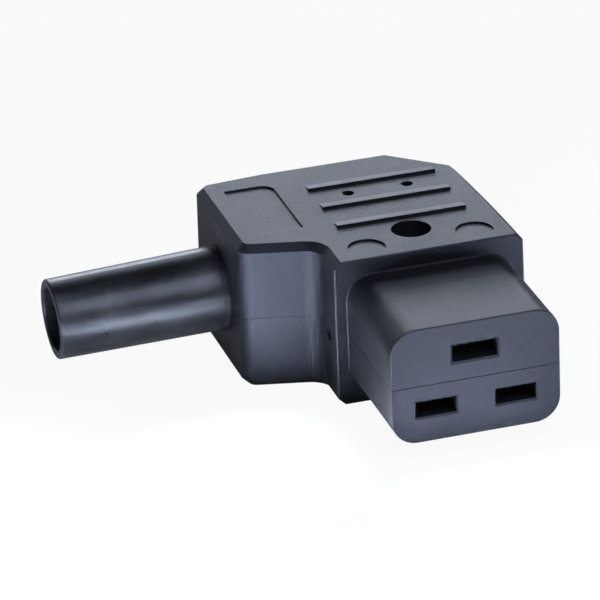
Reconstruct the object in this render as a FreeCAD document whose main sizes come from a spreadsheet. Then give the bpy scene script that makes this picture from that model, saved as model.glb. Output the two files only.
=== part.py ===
"""A rewireable C19 power connector with a side cable entry, as separate pieces, in millimetres.

The origin is the centre of the mating face on the nose.  X runs to the right, away from the cable,
Y runs from the nose into the housing and Z runs up.  The two shells meet in the plane Z = 0.
"""
import FreeCAD, Part
import math
import os

import Sketcher
from FreeCAD import Rotation, Vector

SIZES = {
    # nose and mating face
    "nose_width": 27.4,
    "nose_height": 19.3,
    "nose_length": 21.6,
    "nose_corner": 4.1,
    "nose_wall": 2.2,
    "face_wall": 2.4,
    "face_round": 0.22,
    "root_round": 0.25,
    "pin_spacing": 13.0,
    "power_slot_drop": 4.15,
    "power_slot_width": 6.5,
    "power_slot_height": 2.6,
    "earth_slot_rise": 4.45,
    "earth_slot_width": 7.4,
    "earth_slot_height": 2.85,
    "slot_lead": 0.3,
    # housing outline
    "housing_width": 31.5,
    "housing_thickness": 24.8,
    "housing_back": 60.2,
    "wall": 2.0,
    "draft_angle": 0.6,
    "rim_chamfer": 1.18,
    "seam_gap": 0.015,
    "nose_seam_gap": 0.04,
    "seam_depth": 0.4,
    "overlap": 0.5,
    "front_break": 0.2,
    "side_pull": 1.2,
    "side_bow_radius": 470.0,
    "bevel_back_x": 5.3,
    "bevel_drop": 8.6,
    "bevel_round": 1.2,
    "neck_reach": 27.87,
    "neck_front_y": 32.9,
    "neck_back_drop": 0.9,
    "neck_back_x": 16.2,
    "neck_front_round": 2.6,
    "neck_back_round": 2.5,
    "shoulder_y": 29.75,
    "shoulder_round": 3.2,
    # top face
    "rib_left": 11.0,
    "rib_right": 10.5,
    "rib_front_y": 34.35,
    "rib_back_gap": 10.51,
    "rib_count": 3,
    "rib_run": 2.25,
    "rib_rise": 0.4,
    "pip_left": 5.35,
    "pip_right": 4.6,
    "pip_shift": 0.38,
    "pip_radius": 0.97,
    "pip_depth": 1.2,
    "disc_x": 8.93,
    "disc_y": 25.8,
    "disc_radius": 3.0,
    "field_depth": 0.25,
    "field_side_gap": 3.97,
    "field_width": 7.9,
    "field_front_gap": 3.8,
    "field_back_gap": 4.75,
    "field_round": 2.2,
    "side_hole_y": 25.3,
    "side_hole_drop": 1.33,
    "side_hole_radius": 1.1,
    "side_hole_depth": 1.4,
    # housing screw
    "screw_x": -0.28,
    "screw_y": 29.75,
    "well_radius": 3.2,
    "well_floor": 4.0,
    "boss_wall": 1.1,
    "screw_shank_radius": 1.7,
    "screw_shank_length": 11.5,
    "screw_head_radius": 2.8,
    "screw_head_height": 2.4,
    "insert_radius": 2.6,
    "insert_length": 7.0,
    "insert_top_drop": 1.0,
    "insert_groove": 0.3,
    "insert_gap": 0.025,
    "driver_slot_width": 0.9,
    "driver_slot_depth": 1.0,
    # cable sleeve
    "sleeve_shift": 0.44,
    "sleeve_length": 27.9,
    "sleeve_root_radius": 6.85,
    "sleeve_tip_radius": 6.5,
    "sleeve_bore_radius": 5.2,
    "sleeve_entry_radius": 5.3,
    "sleeve_collar_radius": 6.95,
    "sleeve_tip_round": 0.4,
    "sleeve_droop": 1.7,
    "collar_length": 1.2,
    "sleeve_neck_radius": 6.0,
    "flange_radius": 8.0,
    "flange_thickness": 2.1,
    "partition_thickness": 1.4,
    # contacts and their carrier
    "fit_gap": 0.1,
    "sheet_thickness": 0.8,
    "mouth_setback": 4.1,
    "mouth_gap": 2.7,
    "throat_gap": 1.7,
    "belly_gap": 2.5,
    "throat_start": 1.8,
    "throat_length": 2.8,
    "belly_start": 6.6,
    "tulip_length": 10.3,
    "power_contact_width": 6.4,
    "earth_contact_width": 7.2,
    "channel_side_gap": 0.7,
    "spring_thickness": 0.35,
    "spring_gap": 1.2,
    "spring_clear": 0.03,
    "carrier_length": 16.1,
    "stop_thickness": 1.2,
    "stop_reach": 1.0,
    # terminals
    "pad_size": 7.2,
    "pad_gap": 0.85,
    "power_terminal_y": 31.2,
    "earth_terminal_x": 5.4,
    "earth_terminal_y": 40.2,
    "earth_lead_width": 4.0,
    "bend_start_y": 19.6,
    "earth_bend_end_y": 24.2,
    "collar_radius": 3.0,
    "collar_depth": 2.2,
    "terminal_head_radius": 2.9,
    "terminal_head_height": 2.2,
    "terminal_shank_radius": 1.7,
    "washer_size": 7.0,
    "washer_thickness": 0.8,
    "washer_lip": 0.9,
    # cord clamp
    "clamp_gap": 1.47,
    "clamp_width": 4.6,
    "clamp_end_thickness": 2.8,
    "clamp_wall": 1.0,
    "clamp_seat_drop": 1.0,
    "clamp_boss_radius": 1.7,
    "clamp_screw_radius": 1.1,
    "clamp_screw_length": 9.0,
    "clamp_head_radius": 1.8,
    "clamp_head_height": 1.5,
    "saddle_gap": 0.4,
}

doc = FreeCAD.newDocument("c19_connector")
sheet = doc.addObject("Spreadsheet::Sheet", "Sizes")
for row, (alias, number) in enumerate(SIZES.items(), start=1):
    sheet.set("A%d" % row, alias)
    sheet.set("B%d" % row, repr(number))
    sheet.setAlias("B%d" % row, alias)
doc.recompute()

NEAR = 1e-4


def size(text):
    """Turn the plain names in a formula into references to the sheet."""
    words = []
    word = ""
    for letter in text + " ":
        if letter.isalnum() or letter in "_.":
            word += letter
        else:
            words.append("Sizes." + word if word in SIZES else word)
            words.append(letter)
            word = ""
    return "".join(words).strip()


def value(text):
    return float(sheet.evalExpression(size(text)))


# ---------------------------------------------------------------- sketches and features

def new_body(name):
    body = doc.addObject("PartDesign::Body", name)
    body.Label = name
    return body


def origin_item(body, role):
    """One of the body's own origin planes or axes."""
    return next(item for item in body.Origin.OriginFeatures if item.Role == role)


def new_sketch(body, name, plane, offset=None):
    """A sketch on one of the body's own origin planes, moved along that plane's normal by offset."""
    sketch = body.newObject("Sketcher::SketchObject", name)
    sketch.AttachmentSupport = (origin_item(body, plane + "_Plane"), [""])
    sketch.MapMode = "FlatFace"
    if offset is not None:
        sketch.setExpression("AttachmentOffset.Base.z", size(offset))
    return sketch


def pin_point(sketch, index, spot, across, up):
    """Tie one point of the sketch to two formulas."""
    for kind, axis, text, number in (
        ("DistanceX", -2, across, value(across)),
        ("DistanceY", -1, up, value(up)),
    ):
        if text == "0":
            sketch.addConstraint(Sketcher.Constraint("PointOnObject", index, spot, axis))
        else:
            row = sketch.addConstraint(Sketcher.Constraint(kind, -1, 1, index, spot, number))
            sketch.setExpression("Constraints[%d]" % row, size(text))


def arc_between(start, end, radius):
    """The shorter arc from start to end; a positive radius turns left, a negative one right."""
    chord = end - start
    middle = (start + end) * 0.5
    left = Vector(-chord.y, chord.x, 0).normalize()
    reach = math.sqrt(max(radius * radius - chord.Length ** 2 / 4, 0.0))
    centre = middle + left * math.copysign(reach, radius)
    first, last = (start, end) if radius > 0 else (end, start)
    angles = [math.atan2(spot.y - centre.y, spot.x - centre.x) for spot in (first, last)]
    circle = Part.Circle(centre, Vector(0, 0, 1), abs(radius))
    return Part.ArcOfCircle(circle, angles[0], angles[1])


def outline(sketch, points):
    """A closed outline through points given as pairs of formulas.

    A third entry is the radius of the arc that leads to the next point.
    """
    spots = [Vector(value(point[0]), value(point[1]), 0) for point in points]
    first = sketch.GeometryCount
    count = len(points)
    ends = []
    for number, point in enumerate(points):
        start, end = spots[number], spots[(number + 1) % count]
        if len(point) == 3:
            radius = value(point[2])
            index = sketch.addGeometry(arc_between(start, end, radius), False)
            row = sketch.addConstraint(Sketcher.Constraint("Radius", index, abs(radius)))
            sketch.setExpression("Constraints[%d]" % row, "abs(%s)" % size(point[2]))
            ends.append((1, 2) if radius > 0 else (2, 1))
        else:
            sketch.addGeometry(Part.LineSegment(start, end), False)
            ends.append((1, 2))
    for number, point in enumerate(points):
        following = (number + 1) % count
        sketch.addConstraint(Sketcher.Constraint(
            "Coincident", first + number, ends[number][1], first + following, ends[following][0]))
        pin_point(sketch, first + number, ends[number][0], point[0], point[1])


def rectangle(sketch, left, right, bottom, top):
    outline(sketch, [(left, bottom), (right, bottom), (right, top), (left, top)])


def circle(sketch, across, up, radius):
    centre = Vector(value(across), value(up), 0)
    index = sketch.addGeometry(Part.Circle(centre, Vector(0, 0, 1), value(radius)), False)
    pin_point(sketch, index, 3, across, up)
    row = sketch.addConstraint(Sketcher.Constraint("Radius", index, value(radius)))
    sketch.setExpression("Constraints[%d]" % row, size(radius))


def extrude(body, kind, sketch, length, backward):
    """Pad or pocket the sketch and make sure that the body's volume changed the right way."""
    before = body.Shape.Volume if body.Tip else 0.0
    feature = body.newObject("PartDesign::" + kind, sketch.Name.replace("Sketch", kind))
    feature.Profile = sketch
    feature.setExpression("Length", size(length))
    feature.Reversed = backward
    body.Tip = feature
    doc.recompute()
    change = body.Shape.Volume - before
    if (change > 0) != (kind == "Pad") or abs(change) < NEAR:
        raise RuntimeError("%s changed %s by %.4f" % (feature.Name, body.Name, change))
    return feature


def pad(body, sketch, length, backward=False):
    return extrude(body, "Pad", sketch, length, backward)


def pocket(body, sketch, length, backward=False):
    return extrude(body, "Pocket", sketch, length, backward)


def dress(body, kind, name, test, amount):
    """Fillet or chamfer each edge of the body that passes the test."""
    base = body.Tip
    edges = ["Edge%d" % (place + 1) for place, edge in enumerate(base.Shape.Edges) if test(edge)]
    if not edges:
        raise RuntimeError("%s found no edge" % name)
    feature = body.newObject("PartDesign::" + kind, name)
    feature.Base = (base, edges)
    feature.setExpression("Radius" if kind == "Fillet" else "Size", size(amount))
    body.Tip = feature
    doc.recompute()
    return feature


def level(edge, axis, height):
    """Whether the whole edge lies at one height along the axis (0, 1 or 2)."""
    spots = [vertex.Point for vertex in edge.Vertexes] + [edge.CenterOfMass]
    return all(abs(spot[axis] - height) < NEAR for spot in spots)


# ---------------------------------------------------------------- shared places, as formulas

HALF = "housing_thickness / 2"
CEILING = "(housing_thickness / 2 - wall)"
NOSE_INNER_X = "(nose_width / 2 - nose_wall)"
NOSE_INNER_Z = "(nose_height / 2 - nose_wall)"
BELLY = "(belly_gap / 2 + sheet_thickness)"
POWER_TAIL = "(power_slot_drop + %s)" % BELLY
EARTH_TAIL = "(earth_slot_rise + %s)" % BELLY
STOP_Y = "(face_wall + carrier_length + 2 * fit_gap)"
FLANGE_X = "(neck_reach - wall - fit_gap)"
PARTITION_X = "(neck_reach - wall - flange_thickness - 2 * fit_gap)"
NECK_BACK_Y = "(housing_back - neck_back_drop)"
SLEEVE_Y = "((neck_front_y + %s) / 2 - sleeve_shift)" % NECK_BACK_Y
BEVEL_SIDE_Y = "(housing_back - bevel_drop)"
RIB_PITCH = "((housing_back - rib_back_gap - rib_front_y) / (rib_count - 1))"
PIP_Y = "(rib_front_y + 1.5 * %s + rib_run / 2 - pip_shift)" % RIB_PITCH
TERMINAL_X = "(housing_width / 2 - wall - pad_gap - pad_size / 2)"
SIDE_X = "(housing_width / 2 - side_pull)"
BEVEL_RUN = "(%s - bevel_back_x)" % SIDE_X
BEVEL_LENGTH = "sqrt(%s ^ 2 + bevel_drop ^ 2)" % BEVEL_RUN
FRONT_SLOPE = "((neck_front_y - shoulder_y) / (neck_reach - housing_width / 2))"
BACK_SLOPE = "(neck_back_drop / (neck_reach - neck_back_x))"
CORD_RADIUS = "(sleeve_bore_radius - saddle_gap)"
CLAMP_X = "(%s - partition_thickness - clamp_gap - clamp_width / 2)" % PARTITION_X
CLAMP_SEAT = "(fit_gap / 2 - clamp_seat_drop)"
CLAMP_TOP = "(%s + clamp_end_thickness)" % CLAMP_SEAT
CLAMP_ARCH = "(%s + clamp_wall)" % CORD_RADIUS
CLAMP_SPRING = "sqrt(%s ^ 2 - %s ^ 2)" % (CLAMP_ARCH, CLAMP_TOP)
CLAMP_SPAN = "(%s + clamp_head_radius + fit_gap / 2)" % CLAMP_SPRING
DRIVER_SLOT = ("driver_slot_width", "driver_slot_depth")


def housing_outline(inset):
    """The housing's plan, from its front left corner round to the right, drawn in by inset."""
    shift = {"d": inset, "slope": FRONT_SLOPE, "back": BACK_SLOPE, "half": "housing_width / 2",
             "side": SIDE_X, "run": BEVEL_RUN, "drop": "bevel_drop", "length": BEVEL_LENGTH}
    front = "shoulder_y + %(d)s * sqrt(1 + %(slope)s ^ 2)" % shift
    return [
        ("-(%(half)s - %(d)s)" % shift, "nose_length + %(d)s" % shift),
        ("%(half)s - %(d)s" % shift, "nose_length + %(d)s" % shift, "side_bow_radius"),
        ("%(side)s - %(d)s" % shift,
         BEVEL_SIDE_Y + " - %(d)s * %(run)s / (%(length)s + %(drop)s)" % shift),
        ("bevel_back_x - %(d)s * %(drop)s / (%(length)s + %(run)s)" % shift,
         "housing_back - %(d)s" % shift),
        ("-neck_back_x", "housing_back - %(d)s" % shift),
        ("-(neck_reach - %(d)s)" % shift,
         NECK_BACK_Y + " + %(back)s * %(d)s - %(d)s" % shift),
        ("-(neck_reach - %(d)s)" % shift,
         front + " + %(slope)s * (neck_reach - %(d)s - %(half)s)" % shift),
        ("-(%(half)s - %(d)s)" % shift, front + " - %(slope)s * %(d)s" % shift),
    ]


# ---------------------------------------------------------------- the two shells

class Shell:
    """One half of the housing and nose; up is 1 for the upper half and -1 for the lower."""

    def __init__(self, name, up):
        self.body = new_body(name)
        self.up = up
        self.count = 0

    def signed(self, text):
        return text if self.up > 0 else "-(%s)" % text

    def sketch(self, plane, offset=None):
        self.count += 1
        return new_sketch(self.body, "%sSketch%02d" % (self.body.Name, self.count), plane, offset)

    def rise(self, sketch, length):
        """Pad from a level sketch, away from the parting plane."""
        return pad(self.body, sketch, length, backward=self.up < 0)

    def sink(self, sketch, length):
        """Pocket from a level sketch, away from the parting plane."""
        return pocket(self.body, sketch, length, backward=self.up > 0)

    def housing(self):
        sketch = self.sketch("XY", self.signed("seam_gap"))
        outline(sketch, housing_outline("0"))
        block = self.rise(sketch, HALF + " - seam_gap")
        self.lean_walls(block)
        plan = housing_outline("0")
        for name, corner, radius in (
            ("Shoulder", 7, "shoulder_round"),
            ("NeckFront", 6, "neck_front_round"),
            ("NeckBack", 5, "neck_back_round"),
            ("BevelBack", 3, "bevel_round"),
            ("BevelSide", 2, "bevel_round"),
        ):
            spot = Vector(value(plan[corner][0]), value(plan[corner][1]), 0)
            dress(self.body, "Fillet", self.body.Name + name,
                  lambda edge: self.stands_at(edge, spot), radius)
        front = value("nose_length") + value("front_break")
        top = self.up * value(HALF)
        dress(self.body, "Chamfer", self.body.Name + "Rim",
              lambda edge: level(edge, 2, top) and edge.CenterOfMass.y > front, "rim_chamfer")
        dress(self.body, "Chamfer", self.body.Name + "Front",
              lambda edge: edge.BoundBox.YMax < front and abs(edge.CenterOfMass.z) > 0.5,
              "front_break")

    def lean_walls(self, block):
        """The moulding draft: every side wall leans in, away from the parting plane."""
        draft = self.body.newObject("PartDesign::Draft", self.body.Name + "Draft")
        draft.Base = (block, ["Face%d" % (place + 1) for place, face in enumerate(block.Shape.Faces)
                              if abs(face.normalAt(0, 0).z) < NEAR])
        draft.NeutralPlane = (origin_item(self.body, "XY_Plane"), [""])
        draft.setExpression("Angle", size("draft_angle"))
        draft.Reversed = self.up < 0
        self.body.Tip = draft
        doc.recompute()

    def stands_at(self, edge, spot):
        """Whether the edge rises from the seam at the given place in plan."""
        seam = self.up * value("seam_gap")
        feet = [point.Point for point in edge.Vertexes if abs(point.Point.z - seam) < NEAR]
        return len(feet) == 1 and math.hypot(feet[0].x - spot.x, feet[0].y - spot.y) < 0.01

    def nose(self):
        half_x, half_z = "(nose_width / 2)", "(nose_height / 2)"
        sketch = self.sketch("XZ")
        turn = self.signed("nose_corner")
        outline(sketch, [
            ("-" + half_x, self.signed("nose_seam_gap")),
            (half_x, self.signed("nose_seam_gap")),
            (half_x, self.signed(half_z + " - nose_corner"), turn),
            (half_x + " - nose_corner", self.signed(half_z)),
            ("nose_corner - " + half_x, self.signed(half_z), turn),
            ("-" + half_x, self.signed(half_z + " - nose_corner")),
        ])
        pad(self.body, sketch, "nose_length + overlap", backward=True)
        seam, root = 2 * value("nose_seam_gap"), value("nose_length")
        reach_x, reach_z = value(half_x) + NEAR, value(half_z) + NEAR
        dress(self.body, "Fillet", self.body.Name + "Face",
              lambda edge: level(edge, 1, 0.0) and abs(edge.CenterOfMass.z) > seam,
              "face_round")
        dress(self.body, "Fillet", self.body.Name + "Root",
              lambda edge: edge.BoundBox.YMin > root - NEAR and edge.BoundBox.XMin > -reach_x
              and edge.BoundBox.XMax < reach_x and seam < abs(edge.CenterOfMass.z) < reach_z,
              "root_round")

    def lands(self):
        """The narrow faces on which the halves meet, inside the seam."""
        sketch = self.sketch("XY")
        outline(sketch, housing_outline("seam_depth"))
        self.rise(sketch, "2 * seam_gap")
        sketch = self.sketch("XY")
        rectangle(sketch, "seam_depth - nose_width / 2", "nose_width / 2 - seam_depth",
                  "seam_depth", "nose_length + wall")
        self.rise(sketch, "2 * nose_seam_gap")

    def hollow(self):
        sketch = self.sketch("XY")
        outline(sketch, housing_outline("wall"))
        self.sink(sketch, CEILING)
        round_in = "(nose_corner - nose_wall)"
        turn = self.signed(round_in)
        sketch = self.sketch("XZ", "-face_wall")
        outline(sketch, [
            ("-" + NOSE_INNER_X, "0"),
            (NOSE_INNER_X, "0"),
            (NOSE_INNER_X, self.signed(NOSE_INNER_Z + " - " + round_in), turn),
            (NOSE_INNER_X + " - " + round_in, self.signed(NOSE_INNER_Z)),
            (round_in + " - " + NOSE_INNER_X, self.signed(NOSE_INNER_Z), turn),
            ("-" + NOSE_INNER_X, self.signed(NOSE_INNER_Z + " - " + round_in)),
        ])
        pocket(self.body, sketch, "nose_length + wall + fit_gap - face_wall")

    def slot(self, across, height, width, thick):
        """A contact opening in the mating face, with its lead-in."""
        sketch = self.sketch("XZ")
        rectangle(sketch, "%s - %s / 2" % (across, width), "%s + %s / 2" % (across, width),
                  "%s - %s / 2" % (height, thick), "%s + %s / 2" % (height, thick))
        pocket(self.body, sketch, "face_wall + fit_gap")
        middle_x, middle_z, reach = value(across), value(height), value(width) / 2 + NEAR
        dress(self.body, "Chamfer", sketch.Name.replace("Sketch", "Lead"),
              lambda edge: level(edge, 1, 0.0) and abs(edge.CenterOfMass.x - middle_x) < reach
              and abs(edge.CenterOfMass.z - middle_z) < reach / 2, "slot_lead")

    def carrier_stops(self):
        for sign in ("-", ""):
            inner = "%s(%s - stop_reach)" % (sign, NOSE_INNER_X)
            outer = "%s(%s + overlap)" % (sign, NOSE_INNER_X)
            sketch = self.sketch("XY")
            rectangle(sketch, inner, outer, STOP_Y, STOP_Y + " + stop_thickness")
            self.rise(sketch, NOSE_INNER_Z + " + overlap")

    def cable_seat(self):
        """The wall that traps the sleeve's flange, and the half holes for the sleeve."""
        sketch = self.sketch("XY")
        rectangle(sketch, "-" + PARTITION_X, "partition_thickness - " + PARTITION_X,
                  SLEEVE_Y + " - flange_radius - partition_thickness",
                  SLEEVE_Y + " + flange_radius + partition_thickness")
        self.rise(sketch, CEILING + " + overlap")
        for start, radius, length in (
            ("neck_reach + overlap", "sleeve_neck_radius + fit_gap", "wall + 2 * overlap"),
            (PARTITION_X + " + fit_gap", "sleeve_bore_radius + fit_gap",
             "partition_thickness + 2 * fit_gap"),
        ):
            sketch = self.sketch("YZ", "-(%s)" % start)
            circle(sketch, SLEEVE_Y, "0", radius)
            pocket(self.body, sketch, length, backward=True)

    def post(self, across, along, radius, start):
        """A round post between the given height and the shell's outer wall."""
        sketch = self.sketch("XY", self.signed(start))
        circle(sketch, across, along, radius)
        self.rise(sketch, "%s + overlap - (%s)" % (CEILING, start))


def build_upper_shell():
    shell = Shell("upper_shell", 1)
    shell.housing()
    shell.nose()
    shell.lands()
    shell.hollow()
    shell.slot("0", "earth_slot_rise", "earth_slot_width", "earth_slot_height")
    shell.carrier_stops()
    shell.cable_seat()
    shell.post("earth_terminal_x", "earth_terminal_y", "collar_radius",
               EARTH_TAIL + " + collar_depth + fit_gap / 2")
    shell.post("screw_x", "screw_y", "well_radius + boss_wall", "0")

    def from_top(depth, draw):
        sketch = shell.sketch("XY", HALF)
        draw(sketch)
        return pocket(shell.body, sketch, depth)

    from_top(HALF + " - well_floor",
             lambda sketch: circle(sketch, "screw_x", "screw_y", "well_radius"))
    from_top(HALF, lambda sketch: circle(sketch, "screw_x", "screw_y",
                                         "screw_shank_radius + fit_gap"))
    grip = shell.sketch("YZ", "-rib_left")
    outline(grip, [
        ("rib_front_y", HALF + " - overlap"),
        ("rib_front_y + rib_run", HALF + " - overlap"),
        ("rib_front_y + rib_run", HALF),
        ("rib_front_y", HALF + " + rib_rise"),
    ])
    rib = pad(shell.body, grip, "rib_left + rib_right")
    pattern = shell.body.newObject("PartDesign::LinearPattern", "upper_shellRibs")
    pattern.Originals = [rib]
    pattern.Direction = (origin_item(shell.body, "Y_Axis"), [""])
    pattern.setExpression("Length", size("(rib_count - 1) * " + RIB_PITCH))
    pattern.setExpression("Occurrences", size("rib_count"))
    shell.body.Tip = pattern
    doc.recompute()
    for across in ("-pip_left", "pip_right"):
        from_top("pip_depth", lambda sketch: circle(sketch, across, PIP_Y, "pip_radius"))
    for across in ("-disc_x", "disc_x"):
        from_top("field_depth", lambda sketch: circle(sketch, across, "disc_y", "disc_radius"))
    left, right = "field_side_gap - neck_reach", "field_side_gap + field_width - neck_reach"
    front, back = "neck_front_y + field_front_gap", NECK_BACK_Y + " - field_back_gap"
    from_top("field_depth", lambda sketch: rectangle(sketch, left, right, front, back))
    corners = [Vector(value(left), value(front), 0), Vector(value(right), value(back), 0)]

    def field_corner(edge):
        box = edge.BoundBox
        return box.XLength + box.YLength < NEAR and any(
            math.hypot(box.XMin - spot.x, box.YMin - spot.y) < 0.01 for spot in corners)

    dress(shell.body, "Fillet", "upper_shellField", field_corner, "field_round")
    return shell.body


def build_lower_shell():
    shell = Shell("lower_shell", -1)
    shell.housing()
    shell.nose()
    shell.lands()
    shell.hollow()
    for across in ("-pin_spacing / 2", "pin_spacing / 2"):
        shell.slot(across, "-power_slot_drop", "power_slot_width", "power_slot_height")
    shell.carrier_stops()
    shell.cable_seat()
    for across in ("-" + TERMINAL_X, TERMINAL_X):
        shell.post(across, "power_terminal_y", "collar_radius",
                   POWER_TAIL + " + collar_depth + fit_gap / 2")
    shell.post("screw_x", "screw_y", "insert_radius + boss_wall", "0")
    sketch = shell.sketch("XY")
    circle(sketch, "screw_x", "screw_y", "insert_radius + insert_gap")
    shell.sink(sketch, "insert_top_drop + insert_length")
    sketch = shell.sketch("XY", "-clamp_seat_drop")
    rectangle(sketch, "-(%s + clamp_width / 2)" % CLAMP_X, "-(%s - clamp_width / 2)" % CLAMP_X,
              "%s - %s" % (SLEEVE_Y, CLAMP_SPAN), "%s + %s" % (SLEEVE_Y, CLAMP_SPAN))
    shell.rise(sketch, CEILING + " + overlap - clamp_seat_drop")
    sketch = shell.sketch("YZ", "-(%s + clamp_width)" % CLAMP_X)
    circle(sketch, SLEEVE_Y, "0", CORD_RADIUS)
    pocket(shell.body, sketch, "2 * clamp_width", backward=True)
    for sign in ("-", "+"):
        along = "%s %s %s" % (SLEEVE_Y, sign, CLAMP_SPAN)
        shell.post("-" + CLAMP_X, along, "clamp_boss_radius", "clamp_seat_drop")
        sketch = shell.sketch("XY", "-clamp_seat_drop")
        circle(sketch, "-" + CLAMP_X, along, "clamp_screw_radius + fit_gap")
        shell.sink(sketch, "clamp_screw_length + fit_gap - clamp_end_thickness")
    sketch = shell.sketch("YZ", "-(housing_width / 2 + overlap)")
    circle(sketch, "side_hole_y", "-side_hole_drop", "side_hole_radius")
    pocket(shell.body, sketch, "side_hole_depth + overlap", backward=True)
    return shell.body


# ---------------------------------------------------------------- sleeve, carrier and contacts

def primitive(kind, name, sizes, place=("0", "0", "0"), axis=Vector(0, -1, 0), angle="90"):
    """A Part primitive along -X, unless another turn about the axis is given."""
    item = doc.addObject("Part::" + kind, name)
    for key, text in sizes.items():
        item.setExpression(key, size(text))
    item.Placement.Rotation = Rotation(axis, value(angle))
    item.setExpression("Placement.Rotation.Angle", size(angle))
    for key, text in zip("xyz", place):
        item.setExpression("Placement.Base." + key, size(text))
    return item


def build_sleeve():
    """The rubber bend relief: a flange and neck held by the shells and a tapered tube outside."""
    y = SLEEVE_Y
    start = "-(neck_reach + fit_gap / 2)"
    joint = "-(neck_reach + fit_gap / 2 + collar_length / 2)"
    turn = "90 + sleeve_droop"
    length = "(sleeve_length - collar_length / 2)"
    solid = [
        primitive("Cylinder", "sleeve_flange", {"Radius": "flange_radius",
                  "Height": "flange_thickness"}, ("flange_thickness - " + FLANGE_X, y, "0")),
        primitive("Cylinder", "sleeve_neck", {"Radius": "sleeve_neck_radius",
                  "Height": "(flange_thickness + collar_length) / 2 + wall + fit_gap"},
                  ("flange_thickness / 2 - " + FLANGE_X, y, "0")),
        primitive("Cylinder", "sleeve_collar", {"Radius": "sleeve_collar_radius",
                  "Height": "collar_length"}, (start, y, "0")),
        primitive("Cone", "sleeve_tube", {"Radius1": "sleeve_root_radius",
                  "Radius2": "sleeve_tip_radius", "Height": length}, (joint, y, "0"), angle=turn),
    ]
    bores = [
        primitive("Cylinder", "sleeve_root_bore", {"Radius": "sleeve_entry_radius",
                  "Height": "neck_reach + collar_length"}, ("0", y, "0")),
        primitive("Cylinder", "sleeve_tube_bore", {"Radius": "sleeve_bore_radius",
                  "Height": length + " + collar_length"}, (joint, y, "0"), angle=turn),
    ]
    whole = doc.addObject("Part::MultiFuse", "sleeve_solid")
    whole.Shapes = solid
    bore = doc.addObject("Part::MultiFuse", "sleeve_bores")
    bore.Shapes = bores
    tube = doc.addObject("Part::Cut", "sleeve_blank")
    tube.Base, tube.Tool = whole, bore
    doc.recompute()
    tip = min(vertex.Point.x for vertex in tube.Shape.Vertexes)
    rounded = doc.addObject("Part::Fillet", "cable_sleeve")
    rounded.Base = tube
    radius = value("sleeve_tip_round")
    reach = value("sleeve_tip_radius") * math.sin(math.radians(value("sleeve_droop")))
    rounded.Edges = [
        (place + 1, radius, radius) for place, edge in enumerate(tube.Shape.Edges)
        if edge.BoundBox.XMax < tip + 2 * reach + NEAR
    ]
    rounded.Label = "cable_sleeve"
    return rounded


CONTACTS = {
    # name: (centre across, centre height, width, direction of the tail from the centre,
    #        terminal across, terminal along, lead width)
    "line": ("-pin_spacing / 2", "-power_slot_drop", "power_contact_width", "-",
             "-" + TERMINAL_X, "power_terminal_y", "power_contact_width"),
    "neutral": ("pin_spacing / 2", "-power_slot_drop", "power_contact_width", "-",
                TERMINAL_X, "power_terminal_y", "power_contact_width"),
    "earth": ("0", "earth_slot_rise", "earth_contact_width", "+",
              "earth_terminal_x", "earth_terminal_y", "earth_lead_width"),
}


def build_carrier():
    """The insulating block that holds the three contacts apart inside the nose."""
    body = new_body("contact_carrier")
    sketch = new_sketch(body, "carrierSketch01", "XZ", "-(face_wall + fit_gap)")
    half_x = "(%s - fit_gap)" % NOSE_INNER_X
    half_z = "(%s - fit_gap)" % NOSE_INNER_Z
    turn = "(nose_corner - nose_wall)"
    outline(sketch, [
        (half_x, turn + " - " + half_z),
        (half_x, half_z + " - " + turn, turn),
        (half_x + " - " + turn, half_z),
        (turn + " - " + half_x, half_z, turn),
        ("-" + half_x, half_z + " - " + turn),
        ("-" + half_x, turn + " - " + half_z, turn),
        (turn + " - " + half_x, "-" + half_z),
        (half_x + " - " + turn, "-" + half_z, turn),
    ])
    for across, height, width, *rest in CONTACTS.values():
        reach = "(%s / 2 + channel_side_gap)" % width
        tall = "(%s + 1.5 * fit_gap)" % BELLY
        rectangle(sketch, "%s - %s" % (across, reach), "%s + %s" % (across, reach),
                  "%s - %s" % (height, tall), "%s + %s" % (height, tall))
    pad(body, sketch, "carrier_length", backward=True)
    return body


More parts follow.
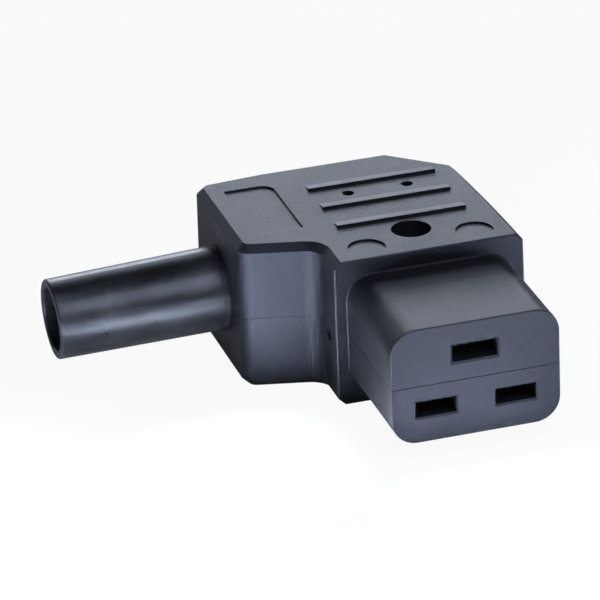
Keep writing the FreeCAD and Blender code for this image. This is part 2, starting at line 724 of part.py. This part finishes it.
def build_contact(name):
    """A spring tulip of folded strip with its lead and threaded terminal pad."""
    across, height, width, down, pad_x, pad_y, lead = CONTACTS[name]
    body = new_body(name + "_contact")
    mouth = "(face_wall + fit_gap + mouth_setback)"
    steps = [(mouth, "mouth_gap / 2"),
             (mouth + " + throat_start", "throat_gap / 2"),
             (mouth + " + throat_start + throat_length", "throat_gap / 2"),
             (mouth + " + belly_start", "belly_gap / 2"),
             (mouth + " + tulip_length - sheet_thickness", "belly_gap / 2")]
    lower_in = [(along, "%s - %s" % (height, gap)) for along, gap in steps]
    upper_in = [(along, "%s + %s" % (height, gap)) for along, gap in steps]
    lower_out = [(along, level_ + " - sheet_thickness") for along, level_ in lower_in[:-1]]
    upper_out = [(along, level_ + " + sheet_thickness") for along, level_ in upper_in[:-1]]
    back = mouth + " + tulip_length"
    corners = [(back, "%s - %s" % (height, BELLY)), (back, "%s + %s" % (height, BELLY))]
    sketch = new_sketch(body, name + "Sketch01", "YZ", "%s - %s / 2" % (across, width))
    outline(sketch, lower_out + corners + upper_out[::-1] + upper_in + lower_in[::-1])
    pad(body, sketch, width)

    outer = "%s %s %s" % (height, down, BELLY)
    inner = outer + (" + sheet_thickness" if down == "-" else " - sheet_thickness")
    low = outer if down == "-" else inner
    start = back + " - 2 * sheet_thickness"
    lead_end = "%s - pad_size / 2" % pad_y
    # the earth lead is narrower and runs along its pad's outer side, clear of the housing screw
    shift = "(pad_size - %s) / 2" % lead if name == "earth" else "0"
    middle = "(%s + %s)" % (pad_x, shift)
    bend_end = "earth_bend_end_y" if name == "earth" else lead_end
    left = [("%s - %s / 2" % (across, width), start),
            ("%s - %s / 2" % (across, width), "bend_start_y"),
            ("%s - %s / 2" % (middle, lead), bend_end)]
    right = [("%s + %s / 2" % (across, width), start),
             ("%s + %s / 2" % (across, width), "bend_start_y"),
             ("%s + %s / 2" % (middle, lead), bend_end)]
    sketch = new_sketch(body, name + "Sketch02", "XY", low)
    outline(sketch, right + [("%s + %s / 2" % (middle, lead), pad_y),
                             ("%s - %s / 2" % (middle, lead), pad_y)] + left[::-1])
    pad(body, sketch, "sheet_thickness")
    sketch = new_sketch(body, name + "Sketch03", "XY", low)
    rectangle(sketch, "%s - pad_size / 2" % pad_x, "%s + pad_size / 2" % pad_x,
              lead_end, "%s + pad_size / 2" % pad_y)
    pad(body, sketch, "sheet_thickness")
    sketch = new_sketch(body, name + "Sketch04", "XY", outer)
    circle(sketch, pad_x, pad_y, "collar_radius")
    pad(body, sketch, "collar_depth", backward=down == "-")
    sketch = new_sketch(body, name + "Sketch05", "XY", inner)
    circle(sketch, pad_x, pad_y, "terminal_shank_radius + fit_gap / 2")
    pocket(body, sketch, "sheet_thickness + collar_depth", backward=down == "+")
    return body


def build_contact_spring(name):
    """The steel clip that keeps the tulip closed round its throat."""
    across, height, width, *rest = CONTACTS[name]
    body = new_body(name + "_contact_spring")
    along = "(face_wall + fit_gap + mouth_setback + throat_start + spring_clear)"
    sketch = new_sketch(body, name + "SpringSketch", "XZ", "-" + along)
    in_x = "(%s / 2 + spring_clear)" % width
    in_z = "(throat_gap / 2 + sheet_thickness + spring_clear)"
    out_x = "(%s + spring_thickness)" % in_x
    out_z = "(%s + spring_thickness)" % in_z
    slit = "(spring_gap / 2)"

    def spot(side, reach, sign, rise):
        return ("%s %s %s" % (across, side, reach), "%s %s %s" % (height, sign, rise))

    outline(sketch, [
        spot("-", slit, "+", out_z), spot("-", out_x, "+", out_z), spot("-", out_x, "-", out_z),
        spot("+", out_x, "-", out_z), spot("+", out_x, "+", out_z), spot("+", slit, "+", out_z),
        spot("+", slit, "+", in_z), spot("+", in_x, "+", in_z), spot("+", in_x, "-", in_z),
        spot("-", in_x, "-", in_z), spot("-", in_x, "+", in_z), spot("-", slit, "+", in_z),
    ])
    pad(body, sketch, "throat_length - 2 * spring_clear", backward=True)
    return body


# ---------------------------------------------------------------- screws, washers and clamp

def put(item, across, along, height, over=False):
    """Place a piece modelled at the origin; over turns it upside down."""
    if over:
        item.Placement.Rotation = Rotation(Vector(1, 0, 0), 180)
    for key, text in zip("xyz", (across, along, height)):
        item.setExpression("Placement.Base." + key, size(text))


def build_screw(name, head_radius, head_height, shank_radius, shank_length, slot):
    """A slotted pan head screw, standing on its seat at the origin with the shank below."""
    body = new_body(name)
    sketch = new_sketch(body, name + "Profile", "XZ")
    ease = "(%s / 3)" % head_height
    tip = "(%s / 2)" % shank_radius
    outline(sketch, [
        ("0", "-(%s)" % shank_length),
        (shank_radius + " - " + tip, "-(%s)" % shank_length),
        (shank_radius, "%s - %s" % (tip, shank_length)),
        (shank_radius, "0"),
        (head_radius, "0"),
        (head_radius, "%s - %s" % (head_height, ease), ease),
        ("%s - %s" % (head_radius, ease), head_height),
        ("0", head_height),
    ])
    turned = body.newObject("PartDesign::Revolution", name + "Turned")
    turned.Profile = sketch
    turned.ReferenceAxis = (sketch, ["V_Axis"])
    turned.Angle = 360
    doc.recompute()
    body.Tip = turned
    width, depth = slot
    cut = new_sketch(body, name + "SlotSketch", "XY", head_height)
    rectangle(cut, "-(%s + fit_gap)" % head_radius, "%s + fit_gap" % head_radius,
              "-%s / 2" % width, "%s / 2" % width)
    pocket(body, cut, depth)
    return body


def build_terminal(name):
    """The clamp washer and the screw of one terminal."""
    across, height, width, down, pad_x, pad_y, lead = CONTACTS[name]
    over = down == "+"
    face = "%s %s (%s - sheet_thickness)" % (height, down, BELLY)
    step = "-" if over else "+"
    washer = new_body(name + "_clamp_washer")
    sketch = new_sketch(washer, name + "WasherSketch01", "XY")
    rectangle(sketch, "-washer_size / 2", "washer_size / 2", "-washer_size / 2", "washer_size / 2")
    circle(sketch, "0", "0", "terminal_shank_radius + fit_gap")
    pad(washer, sketch, "washer_thickness")
    for number, sign in ((2, "-"), (3, "")):
        sketch = new_sketch(washer, "%sWasherSketch%02d" % (name, number), "XY")
        rectangle(sketch, "-washer_size / 2", "washer_size / 2",
                  sign + "washer_size / 2", sign + "(washer_size / 2 - washer_thickness / 2)")
        pad(washer, sketch, "washer_thickness + washer_lip")
    put(washer, pad_x, pad_y, "%s %s fit_gap / 2" % (face, step), over)
    screw = build_screw(name + "_terminal_screw", "terminal_head_radius",
                        "terminal_head_height", "terminal_shank_radius",
                        "(washer_thickness + sheet_thickness + collar_depth)", DRIVER_SLOT)
    put(screw, pad_x, pad_y, "%s %s (fit_gap + washer_thickness)" % (face, step), over)
    return [washer, screw]


def build_housing_screw():
    screw = build_screw("housing_screw", "screw_head_radius", "screw_head_height",
                        "screw_shank_radius", "screw_shank_length", DRIVER_SLOT)
    put(screw, "screw_x", "screw_y", "well_floor + fit_gap / 2")
    return screw


def build_insert():
    """The knurled brass bush with the housing screw's thread, grooved to grip the boss."""
    body = new_body("screw_insert")
    sketch = new_sketch(body, "insertProfile", "XZ")
    bore = "screw_shank_radius + fit_gap / 2"
    points = [(bore, "0"), (bore, "-insert_length")]
    for band in range(5):
        radius = "insert_radius - insert_groove" if band % 2 else "insert_radius"
        for end in (band, band + 1):
            points.append((radius, "insert_length * (%d / 5 - 1)" % end))
    points[-1] = ("insert_radius", "0")
    outline(sketch, points)
    turned = body.newObject("PartDesign::Revolution", "insertTurned")
    turned.Profile = sketch
    turned.ReferenceAxis = (sketch, ["V_Axis"])
    turned.Angle = 360
    doc.recompute()
    body.Tip = turned
    put(body, "screw_x", "screw_y", "-insert_top_drop")
    return body


def build_cord_clamp():
    """The arched strap that grips the cord's sheath, and its two screws."""
    body = new_body("cord_clamp")
    sketch = new_sketch(body, "clampSketch01", "YZ", "-(%s + clamp_width / 2)" % CLAMP_X)
    foot = "sqrt(%s ^ 2 - %s ^ 2)" % (CORD_RADIUS, CLAMP_SEAT)

    def spot(side, reach, height):
        return ("%s %s %s" % (SLEEVE_Y, side, reach), height)

    reach = "(%s + clamp_boss_radius)" % CLAMP_SPAN
    outline(sketch, [
        spot("-", reach, CLAMP_SEAT),
        spot("-", foot, CLAMP_SEAT) + ("-" + CORD_RADIUS,),
        (SLEEVE_Y, CORD_RADIUS, "-" + CORD_RADIUS),
        spot("+", foot, CLAMP_SEAT),
        spot("+", reach, CLAMP_SEAT),
        spot("+", reach, CLAMP_TOP),
        spot("+", CLAMP_SPRING, CLAMP_TOP) + (CLAMP_ARCH,),
        (SLEEVE_Y, CLAMP_ARCH, CLAMP_ARCH),
        spot("-", CLAMP_SPRING, CLAMP_TOP),
        spot("-", reach, CLAMP_TOP),
    ])
    pad(body, sketch, "clamp_width")
    pieces = [body]
    for number, (name, sign) in enumerate((("front", "-"), ("back", "+"))):
        along = "%s %s %s" % (SLEEVE_Y, sign, CLAMP_SPAN)
        hole = new_sketch(body, "clampSketch%02d" % (number + 2), "XY", CLAMP_TOP)
        circle(hole, "-" + CLAMP_X, along, "clamp_screw_radius + fit_gap")
        pocket(body, hole, "clamp_end_thickness + fit_gap")
        screw = build_screw("cord_clamp_screw_" + name, "clamp_head_radius", "clamp_head_height",
                            "clamp_screw_radius", "clamp_screw_length",
                            ("driver_slot_width", "clamp_head_height / 2"))
        put(screw, "-" + CLAMP_X, along, CLAMP_TOP + " + fit_gap / 2")
        pieces.append(screw)
    return pieces


# ---------------------------------------------------------------- build, check and write

def build():
    pieces = [build_upper_shell(), build_lower_shell(), build_sleeve(), build_carrier()]
    for name in CONTACTS:
        pieces += [build_contact(name), build_contact_spring(name)]
        pieces += build_terminal(name)
    pieces += [build_housing_screw(), build_insert()]
    pieces += build_cord_clamp()
    return pieces


def check(pieces):
    doc.recompute()
    for item in doc.Objects:
        if "Invalid" in item.State or "Error" in item.State:
            raise RuntimeError("%s did not compute" % item.Name)
    for piece in pieces:
        if piece.Shape.isNull() or not piece.Shape.isValid() or len(piece.Shape.Solids) != 1:
            raise RuntimeError("%s is not one valid solid" % piece.Label)


nodes = build()
check(nodes)
os.makedirs("parts", exist_ok=True)
for node in nodes:
    node.Shape.exportStep("parts/%s.step" % node.Label)
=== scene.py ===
"""The angled connector's looks: moulded housing shells, rubber sleeve and metal fittings."""
import math

import bpy
from mathutils import Matrix, Vector


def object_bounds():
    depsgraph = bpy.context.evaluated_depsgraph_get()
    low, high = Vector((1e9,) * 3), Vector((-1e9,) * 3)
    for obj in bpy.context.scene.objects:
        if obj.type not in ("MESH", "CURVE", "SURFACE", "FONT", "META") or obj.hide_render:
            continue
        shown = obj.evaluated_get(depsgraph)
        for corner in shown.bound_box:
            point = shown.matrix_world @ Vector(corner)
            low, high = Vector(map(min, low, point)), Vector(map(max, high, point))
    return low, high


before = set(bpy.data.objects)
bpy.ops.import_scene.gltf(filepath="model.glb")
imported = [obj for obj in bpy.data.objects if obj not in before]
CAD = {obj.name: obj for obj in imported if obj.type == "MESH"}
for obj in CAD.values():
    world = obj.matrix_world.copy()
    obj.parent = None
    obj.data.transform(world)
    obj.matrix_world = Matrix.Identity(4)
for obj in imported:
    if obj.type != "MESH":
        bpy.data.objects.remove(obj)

MM = 0.001
FRAME_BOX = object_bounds()

# Shell colours as linear light; depth of the moulded grain and radius of worn edges, in metres.
SHELL_DARK, SHELL_LIGHT = (0.012, 0.013, 0.016), (0.022, 0.023, 0.028)
SHELL_GRAIN, INNER_GRAIN = 0.0001, 0.00001
RUBBED_EDGE = 0.00012

# The point that the soft boxes aim at, in metres, and the colour of every lamp.
AIM = (-0.01, 0.03, 0.0)
UP = (0.0, 0.0, 1.0)
LAMP_TINT = (0.84, 0.90, 1.0)
ROOM_STRENGTH = 0.04

# The floor: half its width and its drop below the part, in metres, then the share of plain
# white in what the camera and the mirrored rays see of it.
FLOOR_REACH = 4.0
FLOOR_DROP = 0.02 * MM
FLOOR_SEEN, FLOOR_MIRRORED = 0.94, 0.03


# ---------------------------------------------------------------- shader maths


class Wire:
    """One socket's value; arithmetic on it adds Math nodes to its paint."""

    def __init__(self, paint, socket):
        self.paint = paint
        self.socket = socket

    def __add__(self, other):
        return self.paint.maths("ADD", self, other)

    def __mul__(self, other):
        return self.paint.maths("MULTIPLY", self, other)

    def clamped(self):
        return self.paint.maths("MAXIMUM", self.paint.maths("MINIMUM", self, 1.0), 0.0)

    __radd__ = __add__


class Paint:
    """A node material. node() adds one node: its type, its settings, then its sockets."""

    def __init__(self, name):
        self.material = bpy.data.materials.new(name)
        self.material.use_nodes = True
        self.tree = self.material.node_tree
        self.tree.nodes.clear()
        self.place = self.node("ShaderNodeTexCoord", out="Object")

    def node(self, kind, settings=None, sockets=None, out=0):
        added = self.tree.nodes.new(kind)
        for key, setting in (settings or {}).items():
            if key == "stops":
                ramp = added.color_ramp
                while len(ramp.elements) < len(setting):
                    ramp.elements.new(1.0)
                for element, (position, grey) in zip(ramp.elements, setting):
                    element.position = position
                    element.color = (grey, grey, grey, 1.0)
            else:
                setattr(added, key, setting)
        for key, given in (sockets or {}).items():
            if isinstance(given, Wire):
                self.tree.links.new(given.socket, added.inputs[key])
            else:
                added.inputs[key].default_value = given
        return Wire(self, added.outputs[out]) if added.outputs else added

    def maths(self, operation, first, second):
        return self.node("ShaderNodeMath", {"operation": operation}, {0: first, 1: second})

    def stretched(self, scale):
        return self.node(
            "ShaderNodeVectorMath", {"operation": "MULTIPLY"}, {0: self.place, 1: scale}
        )

    def noise(self, scale, detail, rough, where=None):
        return self.node(
            "ShaderNodeTexNoise",
            sockets={
                "Vector": where or self.place,
                "Scale": scale,
                "Detail": detail,
                "Roughness": rough,
            },
            out="Fac",
        )

    def ramp(self, value, *stops):
        return self.node("ShaderNodeValToRGB", {"stops": stops}, {"Fac": value})

    def blend(self, share, first, second):
        return self.node(
            "ShaderNodeMix",
            {"data_type": "RGBA"},
            {"Factor": share, 6: first, 7: second},
            out=2,
        )

    def bump(self, height, distance, strength, normal=None):
        sockets = {"Height": height, "Distance": distance, "Strength": strength}
        if normal:
            sockets["Normal"] = normal
        return self.node("ShaderNodeBump", sockets=sockets, out="Normal")

    def finish(self, **sockets):
        shader = self.node(
            "ShaderNodeBsdfPrincipled",
            sockets={key.replace("_", " "): given for key, given in sockets.items()},
        )
        self.node("ShaderNodeOutputMaterial", sockets={"Surface": shader})
        return self.material


def colour(*channels):
    return (*channels, 1.0)


def moulded_plastic(name, dark, light, grain):
    """Moulded nylon: fine spark-eroded grain, cloudy colour, rubbed edges."""
    paint = Paint(name)
    cloud = paint.noise(120.0, 4.0, 0.6)
    speck = paint.noise(3000.0, 2.0, 0.7)
    tone = (cloud * 0.6 + speck * 0.4).clamped()
    rough = 0.26 + cloud * 0.12 + speck * 0.22
    soft = paint.node("ShaderNodeBevel", {"samples": 6}, {"Radius": RUBBED_EDGE}, out="Normal")
    height = paint.noise(3100.0, 2.0, 0.8) * 0.85 + paint.noise(600.0, 2.0, 0.5) * 0.15
    return paint.finish(
        Base_Color=paint.blend(tone, colour(*dark), colour(*light)),
        Roughness=rough,
        Specular_Tint=colour(0.68, 0.74, 1.0),
        Normal=paint.bump(height, grain, 0.8, soft),
    )


def sleeve_rubber():
    """Soft rubber: satin, with faint lines drawn along its length and a handled bloom."""
    paint = Paint("sleeve_rubber_satin")
    drawn = paint.noise(1.0, 3.0, 0.6, paint.stretched((70.0, 700.0, 700.0)))
    handled = paint.noise(1.0, 5.0, 0.7, paint.stretched((110.0, 260.0, 260.0)))
    bloom = paint.ramp(handled, (0.42, 0.0), (0.78, 1.0))
    cloud = paint.noise(260.0, 4.0, 0.65)
    fine = paint.noise(3000.0, 2.0, 0.6)
    return paint.finish(
        Base_Color=paint.blend(bloom, colour(0.010, 0.011, 0.013), colour(0.060, 0.064, 0.074)),
        Roughness=0.14 + drawn * 0.1 + cloud * 0.2 + fine * 0.06,
        Specular_Tint=colour(0.78, 0.84, 1.0),
        Specular_IOR_Level=0.75,
        Normal=paint.bump(drawn * 0.35 + cloud * 0.5 + fine * 0.15, 0.00012, 0.6),
    )


def metal(name, tint, rough, lines):
    """Bare or plated metal with fine working marks and a cloudy tarnish."""
    paint = Paint(name)
    marks = paint.noise(1.0, 3.0, 0.6, paint.stretched((2200.0, 300.0, 2200.0)))
    cloud = paint.noise(420.0, 3.0, 0.6)
    worn = tuple(channel * 0.72 for channel in tint)
    return paint.finish(
        Base_Color=paint.blend(cloud, colour(*worn), colour(*tint)),
        Metallic=1.0,
        Roughness=rough + cloud * 0.14 + marks * lines,
        Normal=paint.bump(marks, 0.000008, 0.4),
    )


FINISHES = {
    "upper_shell": moulded_plastic("upper_shell_nylon", SHELL_DARK, SHELL_LIGHT, SHELL_GRAIN),
    "lower_shell": moulded_plastic("lower_shell_nylon", SHELL_DARK, SHELL_LIGHT, SHELL_GRAIN),
    "cable_sleeve": sleeve_rubber(),
    "contact_carrier": moulded_plastic(
        "carrier_nylon", (0.018, 0.018, 0.020), (0.030, 0.030, 0.034), INNER_GRAIN
    ),
    "cord_clamp": moulded_plastic(
        "clamp_nylon", (0.022, 0.022, 0.026), (0.036, 0.036, 0.042), INNER_GRAIN
    ),
    "contact": metal("contact_brass", (0.80, 0.70, 0.48), 0.16, 0.1),
    "spring": metal("spring_steel", (0.60, 0.60, 0.62), 0.24, 0.1),
    "steel": metal("zinc_plated_steel", (0.66, 0.68, 0.72), 0.26, 0.1),
    "bush": metal("turned_brass", (0.80, 0.66, 0.36), 0.24, 0.16),
}


def finish_of(name):
    """The finish of a node: by its name's ending, by its name, or else plated steel."""
    for ending, key in (("_contact", "contact"), ("_spring", "spring"), ("_insert", "bush")):
        if name.endswith(ending):
            return FINISHES[key]
    return FINISHES.get(name, FINISHES["steel"])


for node_name, node in CAD.items():
    node.data.materials.clear()
    node.data.materials.append(finish_of(node_name))


# ---------------------------------------------------------------- studio


def soft_box(name, bearing, height, distance, size, watts):
    """A soft box around the part: bearing 0 is in front, 90 on its +X side; height in degrees."""
    turn, tilt = math.radians(bearing), math.radians(height)
    across = math.cos(tilt)
    way = Vector((math.sin(turn) * across, -math.cos(turn) * across, math.sin(tilt)))
    lamp(name, Vector(AIM) + way * distance, way, size, watts)


def lamp(name, place, away, size, watts, spread=180.0):
    """A rectangular lamp at a place, shining against the direction away; spread in degrees."""
    light = bpy.data.lights.new(name, "AREA")
    light.shape = "RECTANGLE"
    light.size, light.size_y = size
    light.energy = watts
    light.color = LAMP_TINT
    light.spread = math.radians(spread)
    item = bpy.data.objects.new(name, light)
    item.location = place
    item.rotation_euler = Vector(away).to_track_quat("Z", "Y").to_euler()
    item.visible_camera = False
    bpy.context.scene.collection.objects.link(item)


def pale_floor(height):
    """A wide floor that looks nearly white and keeps a faint share of the shadow on it."""
    mesh = bpy.data.meshes.new("floor")
    signs = ((-1.0, -1.0), (1.0, -1.0), (1.0, 1.0), (-1.0, 1.0))
    corners = [(x * FLOOR_REACH, y * FLOOR_REACH, height) for x, y in signs]
    mesh.from_pydata(corners, [], [(0, 1, 2, 3)])
    paint = Paint("floor_white")
    path = paint.tree.nodes.new("ShaderNodeLightPath")
    camera_ray, glossy_ray, through_ray = (
        Wire(paint, path.outputs[kind])
        for kind in ("Is Camera Ray", "Is Glossy Ray", "Is Transmission Ray")
    )
    mirrored = (glossy_ray + through_ray) * FLOOR_MIRRORED
    seen = (camera_ray * FLOOR_SEEN + mirrored).clamped()
    matt = paint.node("ShaderNodeBsdfDiffuse", sockets={"Color": colour(0.82, 0.82, 0.83)})
    glow = paint.node(
        "ShaderNodeEmission", sockets={"Color": colour(1.0, 1.0, 1.0), "Strength": 1.0}
    )
    both = paint.node("ShaderNodeMixShader", sockets={0: seen, 1: matt, 2: glow})
    paint.node("ShaderNodeOutputMaterial", sockets={"Surface": both})
    mesh.materials.append(paint.material)
    floor = bpy.data.objects.new("floor", mesh)
    bpy.context.scene.collection.objects.link(floor)


def studio_air():
    """An even room: dim as a light, and white to the camera behind the floor."""
    world = bpy.data.worlds.new("studio_air")
    world.use_nodes = True
    tree = world.node_tree
    tree.nodes.clear()
    path = tree.nodes.new("ShaderNodeLightPath")
    soft = tree.nodes.new("ShaderNodeBackground")
    soft.inputs["Color"].default_value = colour(0.93, 0.95, 1.0)
    soft.inputs["Strength"].default_value = ROOM_STRENGTH
    white = tree.nodes.new("ShaderNodeBackground")
    white.inputs["Color"].default_value = colour(1.0, 1.0, 1.0)
    white.inputs["Strength"].default_value = 1.0
    both = tree.nodes.new("ShaderNodeMixShader")
    out = tree.nodes.new("ShaderNodeOutputWorld")
    tree.links.new(path.outputs["Is Camera Ray"], both.inputs[0])
    tree.links.new(soft.outputs[0], both.inputs[1])
    tree.links.new(white.outputs[0], both.inputs[2])
    tree.links.new(both.outputs[0], out.inputs[0])
    bpy.context.scene.world = world


def camera():
    """The viewpoint: front and above, on the cable's side, a little rolled."""
    right = Vector((0.954692, -0.295285, -0.037013))
    up = Vector((0.158937, 0.400761, 0.902291))
    back = Vector((-0.251600, -0.867293, 0.429535))
    data = bpy.data.cameras.new("camera")
    data.lens = 277.086
    data.sensor_width = 36.0
    data.clip_start = 0.01
    data.clip_end = 20.0
    item = bpy.data.objects.new("camera", data)
    place = Vector((-0.202438, -0.602492, 0.316347))
    turn = Matrix((right, up, back)).transposed()
    item.matrix_world = Matrix.LocRotScale(place, turn.to_quaternion(), None)
    bpy.context.scene.collection.objects.link(item)
    bpy.context.scene.camera = item


bpy.context.scene.view_settings.view_transform = "Standard"
pale_floor(FRAME_BOX[0].z - FLOOR_DROP)
studio_air()

# Soft boxes around the part: three behind it and one high in front.
soft_box("back_box", 165.0, 15.0, 0.9, (0.5, 0.22), 2.05)
soft_box("back_left_box", -165.0, 15.0, 0.9, (0.5, 0.22), 0.5)
soft_box("back_high_box", 165.0, 32.0, 0.9, (0.5, 0.26), 0.7)
soft_box("front_box", 18.0, 47.0, 0.8, (0.3, 0.5), 1.7)

# Lamps over the table light what the front walls and the sleeve mirror.
lamp("table_wide", (-0.02, -0.2, 0.4), UP, (0.4, 0.3), 2.1, 24.0)
lamp("table_left", (-0.1, -0.03, 0.4), UP, (0.06, 0.1), 0.28, 10.0)
lamp("table_right", (0.13, 0.0, 0.4), UP, (0.12, 0.12), 0.4, 16.0)
lamp("table_corner", (-0.037, 0.006, 0.35), UP, (0.02, 0.02), 0.034, 4.0)
lamp("table_nose", (0.0, -0.014, 0.3), UP, (0.03, 0.006), 0.009, 3.0)

camera()
